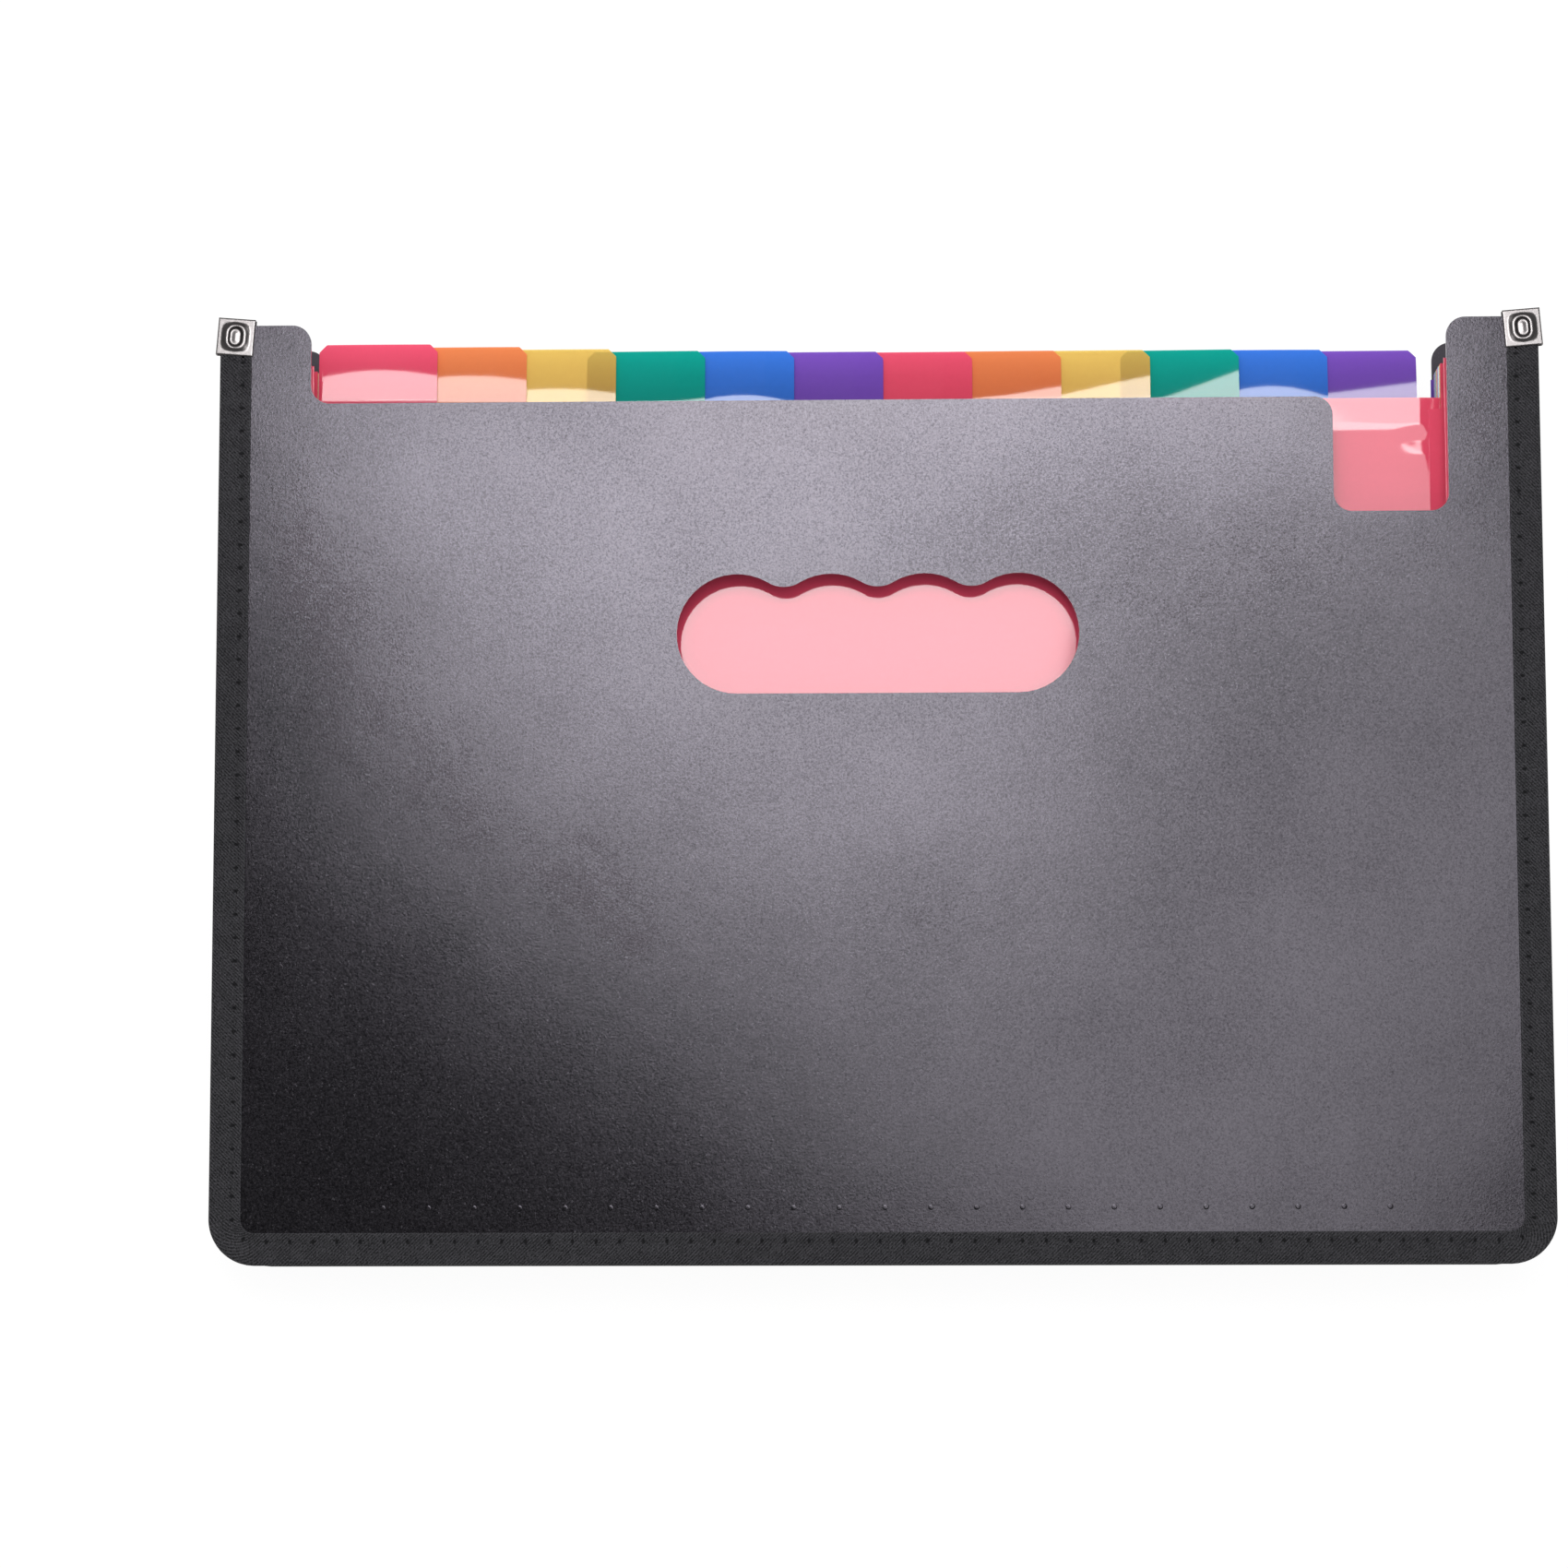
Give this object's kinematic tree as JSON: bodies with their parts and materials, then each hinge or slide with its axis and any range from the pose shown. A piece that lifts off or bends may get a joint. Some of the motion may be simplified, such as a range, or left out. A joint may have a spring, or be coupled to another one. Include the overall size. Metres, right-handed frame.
{
  "type": "expanding file folder",
  "caption": "Closed expanding file: ribbon-edged sheet covers with ears, a thumb notch and a wavy handle slot, joined by pleated gussets to translucent tabbed dividers.",
  "frame": {"origin": "centre of the closed folder's bounding box, on the outer face of the back cover's edging", "axes": "+X along the width, to the right seen from the front; +Y from the bottom edge up to the tabs; +Z through the thickness, from the back cover to the front cover"},
  "size_m": [0.3322, 0.2372, 0.0325],
  "materials": {
    "cover": "black polypropylene sheet with a fine sand texture",
    "edging": "black woven ribbon",
    "thread": "black sewing thread",
    "clip": "bright nickel-plated stamped steel",
    "sheet_red": "translucent glossy red polypropylene sheet",
    "sheet_orange": "translucent glossy orange polypropylene sheet",
    "sheet_yellow": "translucent glossy yellow polypropylene sheet",
    "sheet_green": "translucent glossy green polypropylene sheet",
    "sheet_blue": "translucent glossy blue polypropylene sheet",
    "sheet_purple": "translucent glossy purple polypropylene sheet"
  },
  "bodies": {
    "back": {"back_cover": "cover", "back_edging": "edging", "back_clip_left": "clip", "back_clip_right": "clip", "back_seam_thread": "thread", "back_end_leaf": "sheet_purple", "gusset_13": "sheet_purple"},
    "leaf_12": {"divider_12": "sheet_purple", "gusset_12": "sheet_purple"},
    "leaf_11": {"divider_11": "sheet_blue", "gusset_11": "sheet_blue"},
    "leaf_10": {"divider_10": "sheet_green", "gusset_10": "sheet_green"},
    "leaf_09": {"divider_09": "sheet_yellow", "gusset_09": "sheet_yellow"},
    "leaf_08": {"divider_08": "sheet_orange", "gusset_08": "sheet_orange"},
    "leaf_07": {"divider_07": "sheet_red", "gusset_07": "sheet_red"},
    "leaf_06": {"divider_06": "sheet_purple", "gusset_06": "sheet_purple"},
    "leaf_05": {"divider_05": "sheet_blue", "gusset_05": "sheet_blue"},
    "leaf_04": {"divider_04": "sheet_green", "gusset_04": "sheet_green"},
    "leaf_03": {"divider_03": "sheet_yellow", "gusset_03": "sheet_yellow"},
    "leaf_02": {"divider_02": "sheet_orange", "gusset_02": "sheet_orange"},
    "leaf_01": {"divider_01": "sheet_red", "gusset_01": "sheet_red"},
    "front": {"front_cover": "cover", "front_edging": "edging", "front_clip_left": "clip", "front_clip_right": "clip", "front_seam_thread": "thread", "front_end_leaf": "sheet_red"}
  },
  "joints": [
    {"name": "pocket_13_open", "type": "slide", "parent": "back", "child": "leaf_12", "axis": [0, 0, 1], "range_m": [0, 0.0074], "deforming": ["gusset_13"]},
    {"name": "pocket_12_open", "type": "slide", "parent": "leaf_12", "child": "leaf_11", "axis": [0, 0, 1], "range_m": [0, 0.015], "deforming": ["gusset_12"]},
    {"name": "pocket_11_open", "type": "slide", "parent": "leaf_11", "child": "leaf_10", "axis": [0, 0, 1], "range_m": [0, 0.015], "deforming": ["gusset_11"]},
    {"name": "pocket_10_open", "type": "slide", "parent": "leaf_10", "child": "leaf_09", "axis": [0, 0, 1], "range_m": [0, 0.015], "deforming": ["gusset_10"]},
    {"name": "pocket_09_open", "type": "slide", "parent": "leaf_09", "child": "leaf_08", "axis": [0, 0, 1], "range_m": [0, 0.015], "deforming": ["gusset_09"]},
    {"name": "pocket_08_open", "type": "slide", "parent": "leaf_08", "child": "leaf_07", "axis": [0, 0, 1], "range_m": [0, 0.015], "deforming": ["gusset_08"]},
    {"name": "pocket_07_open", "type": "slide", "parent": "leaf_07", "child": "leaf_06", "axis": [0, 0, 1], "range_m": [0, 0.015], "deforming": ["gusset_07"]},
    {"name": "pocket_06_open", "type": "slide", "parent": "leaf_06", "child": "leaf_05", "axis": [0, 0, 1], "range_m": [0, 0.015], "deforming": ["gusset_06"]},
    {"name": "pocket_05_open", "type": "slide", "parent": "leaf_05", "child": "leaf_04", "axis": [0, 0, 1], "range_m": [0, 0.015], "deforming": ["gusset_05"]},
    {"name": "pocket_04_open", "type": "slide", "parent": "leaf_04", "child": "leaf_03", "axis": [0, 0, 1], "range_m": [0, 0.015], "deforming": ["gusset_04"]},
    {"name": "pocket_03_open", "type": "slide", "parent": "leaf_03", "child": "leaf_02", "axis": [0, 0, 1], "range_m": [0, 0.015], "deforming": ["gusset_03"]},
    {"name": "pocket_02_open", "type": "slide", "parent": "leaf_02", "child": "leaf_01", "axis": [0, 0, 1], "range_m": [0, 0.015], "deforming": ["gusset_02"]},
    {"name": "pocket_01_open", "type": "slide", "parent": "leaf_01", "child": "front", "axis": [0, 0, 1], "range_m": [0, 0.0074], "deforming": ["gusset_01"]}
  ]
}
